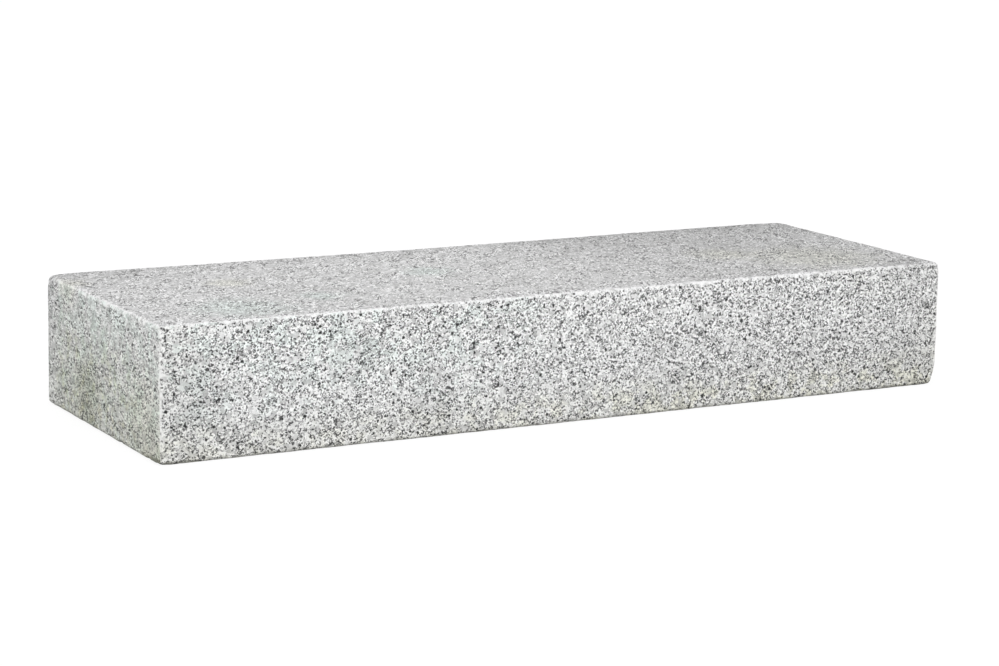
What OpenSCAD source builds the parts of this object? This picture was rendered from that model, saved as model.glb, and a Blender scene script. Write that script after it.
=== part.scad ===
// Granite block step: one worked stone with eased arrises, lying on its bed.
// The origin is on the bed, under the middle of the stone. +X runs along the
// step to its right end, -Y is the face (the riser) and +Z is up to the tread.

/* [Stone] */
// Length of the step, from its left end to its right end
step_length = 1000; // [400:10:2000]
// Depth of the step, from its face to its back
step_depth = 350; // [200:5:600]
// Height of the step, from its bed to its tread
step_height = 150; // [80:1:250]

/* [Arrises] */
// Radius of the eased arrises round the tread
tread_arris = 3; // [1:0.5:12]
// Radius of the arrises round the bed
bed_arris = 4; // [1:0.5:12]
// Radius of the four upright arrises
upright_arris = 3; // [1:0.5:12]

/* [Worn corners] */
// How far wear runs from the foot of the face's right corner
foot_right_wear = 16; // [4:1:60]
// How far wear runs from the foot of the face's left corner
foot_left_wear = 9; // [4:1:60]
// How far wear runs from the tread's back right corner
back_right_wear = 9; // [4:1:60]
// How far wear runs from the tread's back left corner
back_left_wear = 7; // [4:1:60]

/* [Chips] */
// Length of a chip, measured along its arris
chip_length = 20; // [8:1:60]
// Depth of a chip, below the eased arris
chip_depth = 1.2; // [0.4:0.1:4]

/* [Hidden] */

stone_colour = "silver";
smooth = 96;
half_length = step_length / 2;
half_depth = step_depth / 2;
widest_arris = max(tread_arris, bed_arris, upright_arris);

// Chips along the foot of the face, as shares of the length from the middle.
face_foot_chips = [-0.21, 0.03, 0.27];
// Chips along the left end's tread arris, as shares of the depth.
left_tread_chips = [-0.18, 0.29];

// One corner of an outline, rounded: what the arris takes off at zero.
// inward points from the corner into the outline.
module corner_waste(radius, inward) {
    difference() {
        square(2 * radius, center = true);
        translate(radius * inward) circle(radius, $fn = smooth);
    }
}

// A rectangle standing on the first axis, with rounded lower and upper corners.
module eased_outline(width, height, lower_radius, upper_radius) {
    difference() {
        translate([-width / 2, 0]) square([width, height]);
        for (side = [-1, 1]) {
            translate([side * width / 2, 0]) corner_waste(lower_radius, [-side, 1]);
            translate([side * width / 2, height]) corner_waste(upper_radius, [-side, -1]);
        }
    }
}

// The squared stone: its plan, its long section and its cross section in one.
module eased_stone() {
    intersection() {
        translate([0, -half_depth, 0])
            linear_extrude(step_height)
            eased_outline(step_length, step_depth, upright_arris, upright_arris);
        translate([0, half_depth, 0]) rotate([90, 0, 0])
            linear_extrude(step_depth)
            eased_outline(step_length, step_height, bed_arris, tread_arris);
        translate([-half_length, 0, 0]) rotate([90, 0, 90])
            linear_extrude(step_length)
            eased_outline(step_depth, step_height, bed_arris, tread_arris);
    }
}

// What wear takes off a corner at zero: all of a cube but a ball in its middle.
// The ball is as big as lets the wear run out on the arrises at the cube's side.
module worn_corner(run, inward) {
    side = max(run, widest_arris);
    ball = sqrt(2) * (side - widest_arris) + widest_arris;
    difference() {
        cube(2 * side, center = true);
        translate(side * inward) sphere(ball, $fn = smooth);
    }
}

// A ball that bites a chip out of an arris at zero; outward points off the stone.
module chip(arris, outward) {
    eased_back = (sqrt(2) - 1) * arris;
    bite = (pow(chip_length / 2, 2) + pow(chip_depth, 2)) / (2 * chip_depth);
    translate((bite - chip_depth - eased_back) / sqrt(2) * outward) sphere(bite, $fn = smooth);
}

module step_block() {
    color(stone_colour)
    difference() {
        eased_stone();
        translate([half_length, -half_depth, 0]) worn_corner(foot_right_wear, [-1, 1, 1]);
        translate([-half_length, -half_depth, 0]) worn_corner(foot_left_wear, [1, 1, 1]);
        translate([half_length, half_depth, step_height])
            worn_corner(back_right_wear, [-1, -1, -1]);
        translate([-half_length, half_depth, step_height])
            worn_corner(back_left_wear, [1, -1, -1]);
        for (share = face_foot_chips)
            translate([share * step_length, -half_depth, 0]) chip(bed_arris, [0, -1, -1]);
        for (share = left_tread_chips)
            translate([-half_length, share * step_depth, step_height])
            chip(tread_arris, [-1, 0, 1]);
    }
}

step_block();
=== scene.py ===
"""Granite block step: one worked stone, lying on its bed on a pale studio floor.
Every length is in metres."""

import itertools
import math

import bpy
import numpy as np
from mathutils import Matrix, Vector


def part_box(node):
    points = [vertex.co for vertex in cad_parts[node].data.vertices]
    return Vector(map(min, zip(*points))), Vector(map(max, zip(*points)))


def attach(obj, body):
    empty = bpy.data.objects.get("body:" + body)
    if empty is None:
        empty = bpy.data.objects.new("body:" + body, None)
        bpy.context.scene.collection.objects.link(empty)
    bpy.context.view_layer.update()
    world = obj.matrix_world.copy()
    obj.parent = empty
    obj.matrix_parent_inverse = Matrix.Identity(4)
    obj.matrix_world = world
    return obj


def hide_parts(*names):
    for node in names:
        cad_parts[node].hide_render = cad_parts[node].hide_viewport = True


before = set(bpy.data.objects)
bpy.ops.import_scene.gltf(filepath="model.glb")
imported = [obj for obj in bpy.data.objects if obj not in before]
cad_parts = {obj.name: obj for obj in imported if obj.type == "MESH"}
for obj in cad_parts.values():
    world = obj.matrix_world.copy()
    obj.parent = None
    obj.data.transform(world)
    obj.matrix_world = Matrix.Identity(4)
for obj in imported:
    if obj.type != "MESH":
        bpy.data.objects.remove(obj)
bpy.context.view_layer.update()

# The stone's own sizes, in metres, from the frame.
stone_low, stone_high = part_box("step_block")
middle = np.array((stone_low + stone_high) / 2)
half = np.array((stone_high - stone_low) / 2)
# Its six sides, from its middle, which stands at x = 0 and y = 0.
LEFT, RIGHT, FACE, BACK, BED, TREAD = -half[0], half[0], -half[1], half[1], -half[2], half[2]

BED_LEVEL = float(stone_low.z)

MM = 0.001
# How near one of the sharp box's sides a place still counts as on it.
ON_SIDE = 0.2 * MM
# How many points a grid line is measured out with.
MEASURING_POINTS = 6001

# Arrises: the radius they are rounded to, how rough they are, and the sharpest left.
TREAD_ARRIS = 3 * MM
BED_ARRIS = 4 * MM
ARRIS_WAVES = 1.0 * MM
ARRIS_RUFFLE = 0.5 * MM
BRUISED_ARRIS = 1.8 * MM
LEAST_ARRIS = 1.2 * MM

# Sides out of true: the tread's dip along its middle, more of it at the back, its
# fall at the right end and at the back left corner, the left end's lean, and how
# far the face's right foot corner is worn back.
TREAD_DIP = 0.55 * MM
BACK_DIP = 1.45 * MM
RIGHT_FALL = 0.9 * MM
BACK_LEFT_FALL = 0.6 * MM
LEFT_LEAN = 1.3 * MM
FOOT_WORN = 5 * MM

# The tools' dimples: how deep they go, and what is taken off all over for them, as
# a share of that, so that no bump between them stands out of the box.
TOOLING = 0.5 * MM
TOOLED_OFF = 0.68

# The granite's grains, across.
FINE_GRAIN = 1.3 * MM
MIDDLING_GRAIN = 2.1 * MM
CRYSTAL = 3.0 * MM
LARGE_CRYSTAL = 5.2 * MM
FLECK = 1.6 * MM
LARGE_FLECK = 3.0 * MM
SPARK = 1.7 * MM
# How far the outlines of the grains and of the flecks wander.
GRAIN_WANDER = 3.2 * MM
FLECK_WANDER = 3.0 * MM
# How much of the surface the small flecks, the large ones and the sparks (painted glints) take.
FLECKS = 0.12
LARGE_FLECKS = 0.03
SPARKS = 0.09

# The rift: how far across the tread's grains lean, and how much of a grain's width
# is drawn out, on the sawn ends and back and on the tread.
RIFT_ASKEW = 0.47
RIFT_SHORTER = 0.12
END_DRAWN = 0.45
TREAD_DRAWN = 0.50

# Stone dust: its patches, its tone, and how much lies on the ends and the tread.
DUST_PATCH = 12 * MM
DUST_TONE = 0.60
END_DUST = 0.55
TREAD_DUST = 0.02
TREAD_PATCHES = 0.48

# Tints: the share of red, green and blue that each one leaves.
OLIVE_DIRT = (0.74, 0.755, 0.68)
DULL_END = (0.956, 0.955, 0.949)
GREEN_BLOOM = (0.962, 1.0, 0.982)
DARK_EDGE = (0.83, 0.83, 0.83)
MOTTLED = (0.77, 0.77, 0.76)
YELLOW_DIRT = (1.0, 0.985, 0.86)
DAMP = (0.84, 0.85, 0.79)
# Painted shade: the face darker below its top third, so its top looks lit from above.
FACE_SHADE_BELOW_TOP = (0.967, 0.967, 0.967)
GRIME = (0.90, 0.90, 0.885)
FOOT_DIRT = (0.90, 0.90, 0.88)
OLIVE_FOOT = (0.98, 0.975, 0.89)
# Earth and painted contact shade: the dark line at the very foot.
SOIL_AND_SHADE = (0.38, 0.38, 0.34)
COOL_BLOOM = (0.955, 1.0, 0.985)
TREAD_TONE = (0.97, 0.965, 0.97)
# The tread darker over its right half, more so towards its back.
DARKER_RIGHT_TREAD = (0.87, 0.87, 0.87)
# The tread darker in its back left corner, and painted shade along its back edge.
DARK_CORNER_AND_BACK_SHADE = (0.85, 0.85, 0.85)
TEAL_SPOT = (0.94, 1.0, 0.975)
YELLOW_SPOT = (0.985, 0.985, 0.93)
DARK_SPOT = (0.91, 0.91, 0.91)

# The studio: the sky's strength where it is not seen, the white that the floor gives
# off itself, how much of that the camera sees, and half the floor's width.
SKY_LIGHT = 0.66
FLOOR_WHITE = 1.10
FLOOR_GLOW = 0.8
FLOOR_REACH = 60.0


# ---------------------------------------------------------------- stone's shape


def smooth(t):
    """The soft step 3t² − 2t³ from 0 to 1, level outside."""
    t = np.clip(t, 0, 1)
    return t * t * (3 - 2 * t)


def rough_field(places, size, seed):
    """Rolling heights from −1 to 1: random numbers stand at the corners of cubes of
    this size, and the soft step blends them along each axis."""
    chance = np.random.default_rng(seed)
    count = 32
    numbers = chance.uniform(-1, 1, (count, count, count))
    spots = places / size + chance.uniform(0, count, 3)
    cell = np.floor(spots).astype(int)
    share = smooth(spots - cell)
    height = np.zeros(len(places))
    for corner in itertools.product((0, 1), repeat=3):
        i, j, k = ((cell + corner) % count).T
        weight = np.where(corner, share, 1 - share).prod(axis=1)
        height += weight * numbers[i, j, k]
    return height


def grid_lines(half_size, fine, coarse, reach):
    """Places from −half_size to half_size, fine apart at both ends and coarse apart
    from reach inwards: equal steps of the running sum of one over the spacing."""
    along = np.linspace(-half_size, half_size, MEASURING_POINTS)
    spacing = fine + (coarse - fine) * smooth((half_size - np.abs(along)) / reach)
    per_step = (1 / spacing[1:] + 1 / spacing[:-1]) / 2 * np.diff(along)
    total = np.concatenate([[0], np.cumsum(per_step)])
    return np.interp(np.linspace(0, total[-1], round(total[-1]) + 1), total, along)


def squared_grid():
    """The sharp box's six sides as one closed grid. Each side is a grid of two of
    the three line sets, and a place's three line numbers say which corners meet.
    Gives the places, each quad's four corners and its side: left end, right end,
    face, back, bed or tread."""
    lines = [  # spacing beside the arrises, spacing in the middle, and the way between
        grid_lines(half[0], 1.0 * MM, 3.25 * MM, 14 * MM),
        grid_lines(half[1], 0.9 * MM, 4.6 * MM, 22 * MM),
        grid_lines(half[2], 0.9 * MM, 4.0 * MM, 22 * MM),
    ]
    counts = np.array([len(line) for line in lines])
    quads, sides = [], []
    for axis in range(3):
        u, v = (axis + 1) % 3, (axis + 2) % 3
        for end in (0, 1):
            number = np.zeros((counts[u], counts[v], 3), int)
            number[..., axis] = end * (counts[axis] - 1)
            number[..., u] = np.arange(counts[u])[:, None]
            number[..., v] = np.arange(counts[v])[None, :]
            key = (number[..., 0] * counts[1] + number[..., 1]) * counts[2] + number[..., 2]
            ring = [key[:-1, :-1], key[1:, :-1], key[1:, 1:], key[:-1, 1:]]
            quads.append(np.stack(ring if end else ring[::-1], axis=-1).reshape(-1, 4))
            sides.append(np.full(len(quads[-1]), 2 * axis + end))
    keys, quads = np.unique(np.concatenate(quads), return_inverse=True)
    i, rest = np.divmod(keys, counts[1] * counts[2])
    j, k = np.divmod(rest, counts[2])
    places = np.stack([lines[0][i], lines[1][j], lines[2][k]], axis=1)
    return places, quads.reshape(-1, 4), np.concatenate(sides)


def arris_radius(places):
    """How far each place's arris is rounded: the bed's radius at the foot, the
    tread's at the top, rough along both, and more at the corners that are worn."""
    up = (places[:, 2] - BED) / (TREAD - BED)
    radius = BED_ARRIS + (TREAD_ARRIS - BED_ARRIS) * smooth(up)
    radius = radius + ARRIS_WAVES * rough_field(places, 14 * MM, 11)
    radius = radius + ARRIS_RUFFLE * rough_field(places, 5 * MM, 12)
    # The left end's tread arris is bruised over its whole length.
    bruised = np.hypot(places[:, 0] - LEFT, places[:, 2] - TREAD)
    radius = radius + BRUISED_ARRIS * (1 - smooth(bruised / (12 * MM)))
    for corner, worn in (  # a worn corner, and its radius
        ((RIGHT, FACE, BED), 6 * MM),
        ((LEFT, FACE, BED), 6 * MM),
        ((RIGHT, FACE, TREAD), 5 * MM),
        ((RIGHT, BACK, TREAD), 6 * MM),
        ((LEFT, BACK, TREAD), 7 * MM),
    ):
        away = np.linalg.norm(places - corner, axis=1)
        near = 1 - smooth((away - worn) / (1.6 * worn))
        radius = np.maximum(radius, worn * near + radius * (1 - near))
    return np.maximum(radius, LEAST_ARRIS)


def eased(places, radius):
    """Rounds the sharp box: each place moves along the line from the nearest point
    of a box smaller by the radius all round, until it is the radius away."""
    core = np.clip(places, radius[:, None] - half, half - radius[:, None])
    outward = places - core
    outward /= np.linalg.norm(outward, axis=1, keepdims=True)
    return core + outward * radius[:, None], outward


def out_of_true(places):
    """Moves the sides off the box, always inwards: the tread dips along its middle,
    more at the back, and falls off at the right end, the left end leans, and the
    face's right foot corner is worn back."""
    x, y, z = places.T
    strayed = places.copy()
    height = smooth((z - BED) / (TREAD - BED))
    depth = smooth((y - FACE) / (BACK - FACE))
    near_left = 1 - smooth((x - LEFT) / (0.5 * half[0]))
    at_left = 1 - smooth((x - LEFT) / (60 * MM))
    near_right = 1 - smooth((RIGHT - x) / (0.5 * half[0]))
    at_right = 1 - smooth((RIGHT - x) / (60 * MM))
    dip = (TREAD_DIP + BACK_DIP * depth) * (1 - (x / half[0]) ** 2)
    dip += RIGHT_FALL * (near_right + at_right) + BACK_LEFT_FALL * depth * at_left
    strayed[:, 2] -= dip * height
    strayed[:, 0] += LEFT_LEAN * near_left * height
    low = 1 - smooth((z - BED) / (30 * MM))
    forward = 1 - smooth((y - FACE) / (30 * MM))
    strayed[:, 0] -= FOOT_WORN * low * forward * (1 - smooth((RIGHT - x) / (15 * MM)))
    return strayed


def bite(places, centre, ball):
    """Moves the places inside a ball straight away from its centre, onto the ball."""
    away = places - centre
    far = np.linalg.norm(away, axis=1)
    inside = far < ball
    places[inside] = centre + away[inside] * (ball / far[inside])[:, None]


def chipped(places):
    """Bites small balls out of the arrises by chance, and one in a set place. A
    ball's centre stands off the arris by its radius less the chip's depth."""
    chance = np.random.default_rng(5)
    arrises = [  # the axis it runs along, the two sides it joins, how many chips
        (0, FACE, TREAD, 26),
        (0, FACE, BED, 34),
        (0, BACK, TREAD, 30),
        (0, BACK, BED, 24),
        (1, LEFT, TREAD, 26),
        (1, LEFT, BED, 12),
        (1, RIGHT, TREAD, 10),
        (1, RIGHT, BED, 10),
        (2, LEFT, FACE, 7),
        (2, RIGHT, FACE, 6),
        (2, LEFT, BACK, 6),
        (2, RIGHT, BACK, 6),
    ]
    places = places.copy()
    for axis, side_a, side_b, count in arrises:
        others = [a for a in range(3) if a != axis]
        for _ in range(count):
            ball = chance.uniform(4, 12) * MM
            depth = chance.uniform(0.9, 2.4) * MM
            centre = np.zeros(3)
            centre[axis] = chance.uniform(-half[axis], half[axis])
            centre[others] = side_a, side_b
            lift = (ball - depth) * math.sqrt(0.5) * chance.uniform(0.75, 1.25)
            centre[others] += lift * np.sign(centre[others])
            bite(places, centre, ball)
    # A nick in the left end's foot, beside the face.
    bite(places, (LEFT + 1 * MM, FACE + 9 * MM, BED - 9.5 * MM), 12 * MM)
    return places


def lay_flat(mesh, squared, quads, sides):
    """Gives the mesh its map for baking: the six sides laid out in one square, each
    seen from outside. A metre is nearly the whole width, except on the bed."""
    full = 0.988
    flat = np.empty((len(quads), 4, 2))
    for side, (across, turn, up, left, low, wide, tall) in enumerate(
        (  # its axis across and which way that runs, its axis up, its corner, its scales
            (1, -1, 2, 0.006, 0.666, full, full),
            (1, 1, 2, 0.006, 0.820, full, full),
            (0, 1, 2, 0.006, 0.358, full, full),
            (0, -1, 2, 0.006, 0.512, full, full),
            (0, -1, 1, 0.358, 0.666, 0.636, 0.930),
            (0, 1, 1, 0.006, 0.006, full, full),
        )
    ):
        corners = squared[quads[sides == side]]
        flat[sides == side, :, 0] = left + wide * (half[across] + turn * corners[..., across])
        flat[sides == side, :, 1] = low + tall * (half[up] + corners[..., up])
    mesh.uv_layers.new(name="OFBake").data.foreach_set("uv", flat.ravel())


def worked_stone():
    """The stone's surface: a closed grid, rounded, strayed out of true, chipped
    along its arrises and dimpled by the tools. Each point keeps its place on the
    sharp box too, which tells the granite what side it is on."""
    squared, quads, sides = squared_grid()
    surface, outward = eased(squared, arris_radius(squared))
    tooling = (
        0.30 * rough_field(surface, 26 * MM, 21)
        + 0.22 * rough_field(surface, 9 * MM, 22)
        + 0.16 * rough_field(surface, 4.5 * MM, 23)
    )
    surface = surface - outward * ((TOOLED_OFF - tooling) * TOOLING)[:, None]
    surface = chipped(out_of_true(surface))
    surface = np.clip(surface, -half, half) + middle

    mesh = bpy.data.meshes.new("worked_stone")
    mesh.from_pydata(surface.tolist(), [], quads.tolist())
    mesh.polygons.foreach_set("use_smooth", np.ones(len(quads), bool))
    kept = mesh.attributes.new("squared", "FLOAT_VECTOR", "POINT")
    kept.data.foreach_set("vector", squared.ravel())
    lay_flat(mesh, squared, quads, sides)
    mesh.update()
    stone = bpy.data.objects.new("worked_stone", mesh)
    bpy.context.scene.collection.objects.link(stone)
    return stone


# ------------------------------------------------------------- shader writing


class Wire:
    """An output socket of a material's node. Sums written on wires lay Math nodes,
    and node() lays any other kind."""

    def __init__(self, tree, socket):
        self.tree, self.socket = tree, socket

    def node(self, kind, settings=(), sockets=(), take=0):
        """Lays a node: its settings first, then its sockets' values or links."""
        made = self.tree.nodes.new("ShaderNode" + kind)
        for name, value in dict(settings).items():
            if name == "stops":
                stops = made.color_ramp.elements
                while len(stops) < len(value):
                    stops.new(1.0)
                for stop, (place, tone) in zip(stops, value):
                    stop.position, stop.color = place, tone
            else:
                setattr(made, name, value)
        for name, value in dict(sockets).items():
            if isinstance(value, Wire):
                self.tree.links.new(value.socket, made.inputs[name])
            else:
                made.inputs[name].default_value = value
        return Wire(self.tree, made.outputs[take])

    def maths(self, operation, a, b=0.0):
        return self.node("Math", {"operation": operation}, {0: a, 1: b})

    def __add__(self, other):
        return self.maths("ADD", self, other)

    def __radd__(self, other):
        return self.maths("ADD", other, self)

    def __sub__(self, other):
        return self.maths("SUBTRACT", self, other)

    def __rsub__(self, other):
        return self.maths("SUBTRACT", other, self)

    def __mul__(self, other):
        return self.maths("MULTIPLY", self, other)

    def __rmul__(self, other):
        return self.maths("MULTIPLY", other, self)

    def least(self, other):
        return self.maths("MINIMUM", self, other)

    def most(self, other):
        return self.maths("MAXIMUM", self, other)

    def size(self):
        return self.maths("ABSOLUTE", self)

    def above(self, level):
        return self.maths("GREATER_THAN", self, level)

    def over(self, low, high):
        """0 below low, 1 above high and a soft step between. Low may be the higher."""
        return self.node(
            "MapRange", {"interpolation_type": "SMOOTHSTEP"}, {0: self, 1: low, 2: high}
        )

    def parts(self):
        """A vector's three parts, or a colour's."""
        split = self.node("SeparateXYZ", (), {0: self})
        return [Wire(self.tree, part) for part in split.socket.node.outputs]

    def shifted(self, other):
        return self.node("VectorMath", {"operation": "ADD"}, {0: self, 1: other})

    def times(self, factor):
        return self.node("VectorMath", {"operation": "SCALE"}, {0: self, "Scale": factor})

    def blended(self, other, share, how="MIX"):
        """This colour with a share of the other laid over it."""
        settings = {"data_type": "RGBA", "blend_type": how}
        return self.node("Mix", settings, {0: share, 6: self, 7: other}, take=2)

    def tinted(self, tint, share):
        """This colour multiplied by a share of the tint."""
        return self.blended((*tint, 1.0), share, "MULTIPLY")

    def ramp(self, stops):
        """The colour at this number, between stops of a place and a grey."""
        greys = [(place, grey(tone)) for place, tone in stops]
        return self.node("ValToRGB", {"stops": greys}, {0: self})

    def noise(self, size, detail=2.0, take=0):
        """Cloudy noise whose lumps are this size, in metres."""
        sockets = {"Vector": self, "Scale": 1 / size, "Detail": detail, "Roughness": 0.6}
        return self.node("TexNoise", (), sockets, take)

    def grains(self, size, take):
        """A mosaic of grains of this size: its distances, or its chance colours."""
        sockets = {"Vector": self, "Scale": 1 / size}
        return self.node("TexVoronoi", (), sockets, {"distance": 0, "chance": 1}[take])

    def chosen(self, size, share, part):
        """1 in the middle of this share of the grains, which chance picks, else 0."""
        chance = self.grains(size, "chance").parts()[part]
        return (share - chance).over(-0.02, 0.02) * self.grains(size, "distance").over(0.75, 0.60)


def grey(tone):
    """A grey of this reflectance."""
    return (tone, tone, tone, 1.0)


def sides_of_stone(squared):
    """From a point's place on the sharp box: 1 or 0 for the tread, for the left end
    and for what lies behind the picked face, and the distance to the nearest arris.
    The distance is the middle one of those to the ends, the face or back, and the
    bed or tread."""
    x, y, z = squared.parts()
    ends, faces, beds = half[0] - x.size(), half[1] - y.size(), half[2] - z.size()
    return {
        "tread": z.above(TREAD - ON_SIDE),
        "left": (0 - x).above(half[0] - ON_SIDE),
        "sawn": y.above(FACE + ON_SIDE),
        "arris": ends.least(faces).most(ends.most(faces).least(beds)),
    }


def drawn_out(place, on):
    """The stone's rift draws its grains out, front to back on the sawn ends and back,
    and askew across the tread: a point slides back along the rift by a share of its
    way along it, so the grains there come out longer."""
    askew, rearward = on["tread"] * RIFT_ASKEW, 1 - on["tread"] * RIFT_SHORTER
    rift = place.node("CombineXYZ", (), {0: askew, 1: rearward, 2: 0.0})
    along = place.node("VectorMath", {"operation": "DOT_PRODUCT"}, {0: place, 1: rift}, take=1)
    pull = (on["sawn"] * END_DRAWN).most(on["tread"] * TREAD_DRAWN)
    return place.shifted(rift.times(0 - along * pull))


def ground_stone(place, wander):
    """The stone's ground: a fine uneven mosaic of grains from dark to white."""
    bent = place.shifted(wander.times(GRAIN_WANDER))
    fine = bent.grains(FINE_GRAIN, "chance").parts()[0]
    middling = bent.grains(MIDDLING_GRAIN, "chance").parts()[0]
    cloud = place.noise(22 * MM) - 0.5
    mineral = fine * 0.58 + middling * 0.42 + cloud * 0.28
    tones = [(0.12, 0.06), (0.27, 0.15), (0.38, 0.38), (0.48, 0.66), (0.58, 0.90), (1.00, 0.97)]
    return mineral.ramp(tones), mineral


def with_crystals(tone, place, wander):
    """Large smooth crystals over the ground: feldspar from white to pale grey, and
    darker quartz."""
    bent = place.shifted(wander.times(GRAIN_WANDER))
    for across, bare in ((CRYSTAL, 0.82), (LARGE_CRYSTAL, 0.84)):
        kind, shade, _ = bent.grains(across, "chance").parts()
        crystal = shade.ramp([(0.00, 0.42), (0.30, 0.58), (0.60, 0.74), (1.00, 0.88)])
        tone = tone.blended(crystal, kind.over(bare, bare + 0.02) * 0.85)
    return tone


def mica(place, wander, more):
    """Where the black flecks are: small ones everywhere, more of them in clusters,
    and a few larger ones."""
    bent = place.shifted(wander.times(FLECK_WANDER))
    cluster = place.noise(11 * MM).over(0.58, 0.72)
    small = bent.chosen(FLECK, cluster * 0.22 + more + FLECKS, 0)
    return small.most(bent.chosen(LARGE_FLECK, LARGE_FLECKS, 0))


def sparkle(place, wander, on):
    """Small white crystals on the sawn sides and the tread, painted near-white as glints."""
    bent = place.shifted(wander.times(FLECK_WANDER)).shifted((0.7, 0.3, 0.9))
    return bent.chosen(SPARK, SPARKS, 1) * on["sawn"].most(on["tread"])


def dust(place, on):
    """How far stone dust evens out the minerals: not at all on the picked face, in
    soft patches on the sawn sides and the tread, and less to the right on the tread."""
    x, _, z = place.parts()
    patchy = place.noise(DUST_PATCH).over(0.42, 0.60)
    high = (z - BED_LEVEL).over(0.03, 0.14)
    on_ends = on["sawn"] * patchy * (high * 0.6 + 0.6) * END_DUST
    leftward = 1 - x.over(0.0, 0.3) * 0.4
    return on_ends.most(on["tread"] * (patchy * TREAD_PATCHES + TREAD_DUST) * leftward)


def with_bruises(tone, place, on):
    """Crushed feldspar shows white along the arrises, in patches. On the left end's
    tread arris it is broken into chips, and it thins out to a line at the back."""
    x, y, z = place.parts()
    left_tread = (x - LEFT).size().most((z - stone_high.z).size()).over(12 * MM, 4 * MM)
    back_half = (y - BACK).size().over(0.15, 0.06)
    whole = place.noise(9 * MM).over(0.42, 0.60)
    lean = (1 - whole) * 2.5 + back_half * 0.7 - 1.1 - on["left"] * (2.0 - back_half * 1.5)
    ruffle = (place.noise(6 * MM, 3.0) - 0.5) * (18 * MM - left_tread * 3 * MM)
    near = on["arris"] + ruffle + left_tread * lean * MM
    patchy = place.noise(25 * MM).over(0.35, 0.60) * 0.4 + 0.45
    patchy = (patchy + left_tread * (whole * 0.45 - 0.12)) * (z - BED_LEVEL).over(0.004, 0.03)
    patchy = patchy * y.over(BACK - 0.02, BACK - 0.05).most(left_tread)
    return tone.blended(grey(0.92), near.over(4.0 * MM, 0.8 * MM) * patchy)


def patch(place, centre, reach):
    """1 in the middle of a soft patch, 0 from its reach outwards, with a ragged edge."""
    far = place.node("VectorMath", {"operation": "DISTANCE"}, {0: place, 1: centre}, take=1)
    return (far + (place.noise(14 * MM) - 0.5) * reach).over(reach, 0.2 * reach)


def damp_patch(place, on):
    """The damp patch low on the left end."""
    return patch(place, (LEFT, 0.045, BED_LEVEL + 0.034), 0.055) * on["left"]


def clouds(place):
    """The broad and the blotchy noise that the dirt and the blooms share."""
    return place.noise(60 * MM, 3.0), place.noise(14 * MM)


def with_end_dirt(tone, place, on):
    """Dirt on the left end: olive low down, green and yellow in patches, a damp
    patch, and darker stone beside the back and at the foot beside the face."""
    _, y, z = place.parts()
    up = z - BED_LEVEL
    broad, blotch = clouds(place)
    end = on["left"]
    low = up.over(0.15, 0.03)
    rearward = y.over(-0.13, 0.06)
    off_back = y.over(BACK - 0.01, BACK - 0.06)

    olive = low * (broad + blotch) * (rearward * 0.15 + 0.45) * (off_back * 0.4 + 0.6)
    tone = tone.tinted(OLIVE_DIRT, end * olive)
    tone = tone.tinted(DULL_END, end * y.over(BACK - 0.01, BACK - 0.05))
    green = place.shifted((1.3, 0.2, 2.7)).noise(25 * MM).over(0.46, 0.60)
    tone = tone.tinted(GREEN_BLOOM, end * green * off_back)
    back_edge = y.over(BACK - 0.06, BACK - 0.01) * up.over(0.02, 0.12)
    face_foot = y.over(FACE + 0.05, FACE + 0.015) * up.over(0.08, 0.03)
    tone = tone.tinted(DARK_EDGE, end * back_edge.most(face_foot * 0.55))
    yellow = low * blotch.over(0.50, 0.66) * y.over(FACE + 0.01, FACE + 0.05)
    yellow = yellow.most(up.over(0.04, 0.01) * y.over(-0.09, -0.14) * (blotch + 0.2))
    yellow = yellow.most(patch(place, (LEFT, -0.13, BED_LEVEL + 0.037), 0.07) * 0.5)
    tone = tone.tinted(YELLOW_DIRT, end * yellow * (rearward * 0.5 + 0.7) * off_back)
    return tone.tinted(DAMP, damp_patch(place, on))


def with_grime_and_shade(tone, place, on):
    """Wear, dirt and painted shade round the stone: mottled sawn sides, painted shade
    that darkens the face below its top third, grime towards the ends, olive dirt along
    the foot, and a dark line at the very foot that is earth and painted contact shade."""
    x, y, z = place.parts()
    up = z - BED_LEVEL
    broad, blotch = clouds(place)
    mottle = place.shifted((3.1, 1.7, 0.4)).noise(8 * MM)
    end, off_end = on["left"], 1 - on["left"]

    tone = tone.tinted(MOTTLED, mottle.over(0.52, 0.66) * on["sawn"])
    # Painted shade: the face darker below its top third, so its top looks lit from above.
    face_shade_below_top = up.over(0.105, 0.075) * up.over(0.010, 0.035)
    tone = tone.tinted(FACE_SHADE_BELOW_TOP, face_shade_below_top * (1 - on["sawn"]))
    outward = x.over(0.26, RIGHT).most(x.over(LEFT + 0.07, LEFT)) * off_end
    grime = (outward * 0.3).most(x.over(0.12, 0.35) * up.over(0.11, 0.06) * 0.2)
    grime = grime.most(x.over(LEFT + 0.09, LEFT + 0.01) * off_end * 0.7)
    grime = grime.most(x.over(0.42, RIGHT) * up.over(0.13, 0.08) * 0.9)
    tone = tone.tinted(GRIME, grime * (1 - on["tread"]))
    tone = tone.tinted(FOOT_DIRT, up.over(0.06, 0.004) * (broad + 0.4) * off_end)
    olive = up.over(0.055, 0.012) * blotch.over(0.46, 0.62) * (x.over(-0.3, 0.25) * 0.6 + 0.4)
    tone = tone.tinted(OLIVE_FOOT, olive * off_end)
    # A dark line at the very foot: earth, and painted contact shade under the rounded bed arris,
    # higher on the left end beside the face.
    near_face = end * y.over(FACE + 0.06, FACE + 0.01)
    soil_and_shade = (up + (mottle - 0.5) * 0.010 - near_face * 0.004).over(0.0055, 0.0015)
    return tone.tinted(SOIL_AND_SHADE, soil_and_shade * (outward * 0.35 + near_face * 0.4 + 0.6))


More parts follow.
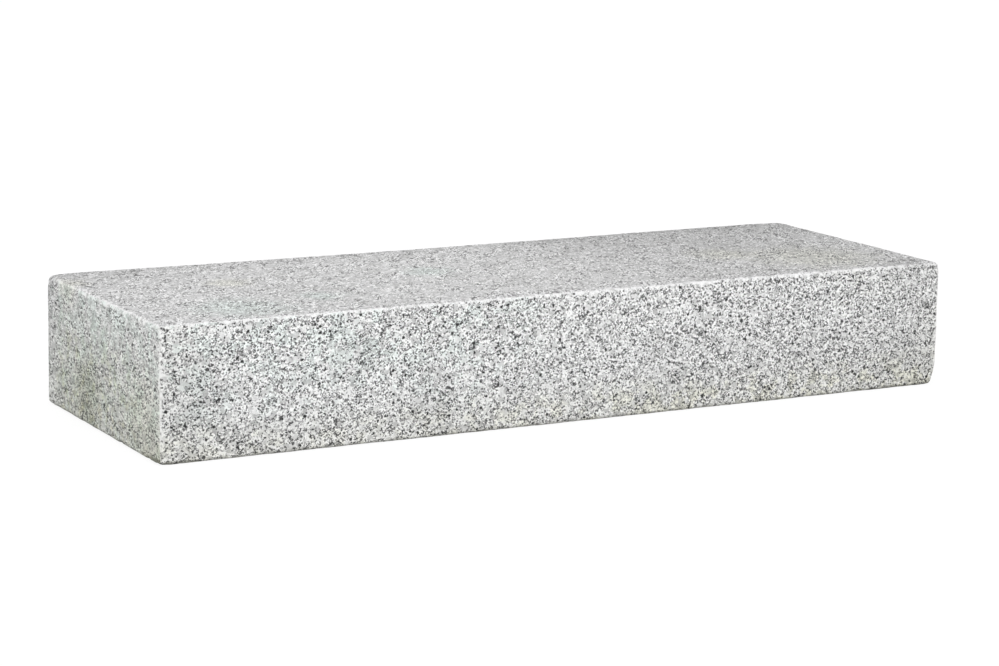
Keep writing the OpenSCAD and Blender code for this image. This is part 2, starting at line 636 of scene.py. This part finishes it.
def with_blooms_and_shade(tone, place, on):
    """Faint blooms and darker parts: cool on the face's left half, the tread darker over
    its right half, towards its back and in its back left corner, painted shade along
    the tread's back edge, dull patches on the face, and tinted spots on the tread."""
    x, y, z = place.parts()
    up = z - BED_LEVEL
    broad, blotch = clouds(place)
    tread = on["tread"]

    cool = x.over(0.05, -0.15) * up.over(0.02, 0.06) * (blotch + broad - 0.5).over(0.48, 0.64)
    cool = cool * (1 - tread) * (1 - up.over(0.11, 0.07) * 0.35)
    tone = tone.tinted(COOL_BLOOM, cool)
    tone = tone.tinted(TREAD_TONE, tread)
    # The tread darker over its right half, more so towards its back.
    darker_right = x.over(0.0, 0.21) * (y.over(-0.06, 0.15) * 0.95 + 0.05)
    tone = tone.tinted(DARKER_RIGHT_TREAD, darker_right * tread)
    # The tread darker in its back left corner, and painted shade along its back edge.
    corner = (x.over(-0.22, -0.42) * y.over(0.06, BACK)).most(y.over(BACK - 0.06, BACK) * 0.75)
    tone = tone.tinted(DARK_CORNER_AND_BACK_SHADE, corner * tread)
    for along, high, reach in (  # dull patches on the face
        (-0.46, 0.075, 0.070),
        (-0.38, 0.008, 0.060),
        (-0.27, 0.105, 0.040),
        (-0.18, 0.040, 0.050),
        (0.117, 0.045, 0.055),
        (0.455, 0.140, 0.045),
        (0.443, 0.045, 0.055),
    ):
        dull = patch(place, (along, FACE, BED_LEVEL + high), reach)
        tone = tone.tinted(DARK_SPOT, dull * (1 - on["left"]))
    for along, deep, reach, tint in (  # spots on the tread
        (-0.38, -0.11, 0.075, TEAL_SPOT),
        (-0.27, -0.08, 0.035, TEAL_SPOT),
        (-0.09, 0.02, 0.045, TEAL_SPOT),
        (-0.33, 0.04, 0.04, YELLOW_SPOT),
        (LEFT, 0.11, 0.04, YELLOW_SPOT),
        (0.29, -0.02, 0.06, YELLOW_SPOT),
        (0.38, -0.08, 0.11, YELLOW_SPOT),
        (0.33, 0.02, 0.09, DARK_SPOT),
    ):
        tone = tone.tinted(tint, patch(place, (along, deep, stone_high.z), reach))
    return tone


def granite():
    """Grey granite, picked on the face and sawn elsewhere: white and pale grey
    feldspar, mid grey quartz and black mica, with dust, bruises, dirt and blooms."""
    finish = bpy.data.materials.new("granite")
    finish.use_nodes = True
    tree = finish.node_tree
    shader = tree.nodes["Principled BSDF"]
    place = Wire(tree, tree.nodes.new("ShaderNodeTexCoord").outputs["Object"])
    on = sides_of_stone(place.node("Attribute", {"attribute_name": "squared"}, take=1))
    drawn = drawn_out(place, on)
    wander = drawn.noise(2.6 * MM, take=1).shifted((-0.5, -0.5, -0.5))

    # The minerals, more mica in the damp patch and to the right, and dust over them.
    tone, mineral = ground_stone(drawn, wander)
    rightward = place.parts()[0].over(0.0, 0.3) * (on["tread"] * 0.10 + 0.04)
    fleck = mica(drawn, wander, damp_patch(place, on) * 0.25 + rightward)
    dusty = dust(drawn, on)
    tone = with_crystals(tone, drawn, wander)
    tone = tone.blended(grey(DUST_TONE), dusty)
    tone = tone.blended(grey(0.02), fleck * (1 - dusty * (on["tread"] * 0.4 + 0.6)))
    # Painted glints: small white crystals painted near-white on the sawn sides and the tread.
    tone = tone.blended(grey(0.95), sparkle(drawn, wander, on))

    # What the years have left on them.
    tone = with_bruises(tone, place, on)
    tone = with_end_dirt(tone, place, on)
    tone = with_grime_and_shade(tone, place, on)
    tone = with_blooms_and_shade(tone, place, on)
    tree.links.new(tone.socket, shader.inputs["Base Color"])
    tree.links.new((0.80 - fleck * 0.3 - mineral * 0.1).socket, shader.inputs["Roughness"])
    shader.inputs["Specular IOR Level"].default_value = 0.35

    # Tooling: fine pits, grains that stand proud and mica that has broken out.
    height = place.noise(1.6 * MM, 3.0) * 0.5 + mineral * 0.15 - fleck * 0.2
    bump = place.node("Bump", (), {"Height": height, "Distance": 0.35 * MM, "Strength": 0.8})
    tree.links.new(bump.socket, shader.inputs["Normal"])
    return finish


# ------------------------------------------------------------------- the studio


def studio_floor():
    """A wide pale floor that keeps only a faint shadow of the stone."""
    mesh = bpy.data.meshes.new("floor")
    turns = ((-1, -1), (1, -1), (1, 1), (-1, 1))
    corners = [(x * FLOOR_REACH, y * FLOOR_REACH, BED_LEVEL) for x, y in turns]
    mesh.from_pydata(corners, [], [(0, 1, 2, 3)])
    floor = bpy.data.objects.new("floor", mesh)
    bpy.context.scene.collection.objects.link(floor)
    finish = bpy.data.materials.new("floor_white")
    finish.use_nodes = True
    tree = finish.node_tree
    tree.nodes.clear()
    out = tree.nodes.new("ShaderNodeOutputMaterial")
    seen = Wire(tree, tree.nodes.new("ShaderNodeLightPath").outputs["Is Camera Ray"])
    matt = seen.node("BsdfDiffuse", (), {"Color": grey(0.85)})
    lit = seen.node("Emission", (), {"Color": grey(1.0), "Strength": FLOOR_WHITE})
    both = seen.node("MixShader", (), {0: seen * FLOOR_GLOW, 1: matt, 2: lit})
    tree.links.new(both.socket, out.inputs["Surface"])
    mesh.materials.append(finish)


def studio_sky():
    """White where the camera or a reflection looks, and a softer light elsewhere."""
    world = bpy.data.worlds.new("studio")
    bpy.context.scene.world = world
    world.use_nodes = True
    tree = world.node_tree
    path = tree.nodes.new("ShaderNodeLightPath").outputs
    seen = Wire(tree, path["Is Camera Ray"]).most(Wire(tree, path["Is Glossy Ray"]))
    back = tree.nodes["Background"]
    back.inputs["Color"].default_value = grey(1.0)
    tree.links.new((seen * (1 - SKY_LIGHT) + SKY_LIGHT).socket, back.inputs["Strength"])


def broad_lamp(name, towards, strength, width):
    """A far, wide lamp: the same light falls everywhere, with soft shadows."""
    lamp = bpy.data.lights.new(name, "SUN")
    lamp.energy = strength
    lamp.angle = math.radians(width)
    light = bpy.data.objects.new(name, lamp)
    light.rotation_euler = Vector(towards).to_track_quat("Z", "Y").to_euler()
    bpy.context.scene.collection.objects.link(light)


def soft_box(name, place, size, watts):
    """A square lamp that looks at the stone's middle."""
    lamp = bpy.data.lights.new(name, "AREA")
    lamp.shape = "SQUARE"
    lamp.size = size
    lamp.energy = watts
    light = bpy.data.objects.new(name, lamp)
    light.location = place
    aim = Vector(middle) - Vector(place)
    light.rotation_euler = aim.to_track_quat("-Z", "Y").to_euler()
    bpy.context.scene.collection.objects.link(light)


def camera():
    """A long lens some way off, left of the face and a little above the stone. It
    looks a few millimetres beside the stone's middle."""
    azimuth, elevation, roll = (math.radians(a) for a in (-28.1, 10.946, 0.674))
    distance = 3.384
    aim = Vector(middle) + Vector((-3.6, 1.3, -3.3)) * MM
    back = Vector(
        (
            math.sin(azimuth) * math.cos(elevation),
            -math.cos(azimuth) * math.cos(elevation),
            math.sin(elevation),
        )
    )
    lens = bpy.data.cameras.new("camera")
    lens.sensor_width = 36.0
    lens.lens = 103.72
    view = bpy.data.objects.new("camera", lens)
    level = (-back).to_track_quat("-Z", "Y").to_matrix()
    view.rotation_euler = (level @ Matrix.Rotation(roll, 3, "Z")).to_euler()
    view.location = aim + back * distance
    bpy.context.scene.collection.objects.link(view)
    bpy.context.scene.camera = view


stone = worked_stone()
stone.data.materials.append(granite())
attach(stone, "root")
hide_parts("step_block")

studio_floor()
studio_sky()
broad_lamp("key", towards=(0.15, -0.88, 0.42), strength=1.22, width=50)
soft_box("left", place=(-1.5, -0.2, 0.35), size=0.8, watts=2.8)
soft_box("overhead", place=(-0.25, 0.0, 0.95), size=0.6, watts=1.4)
camera()
bpy.context.scene.view_settings.view_transform = "Standard"
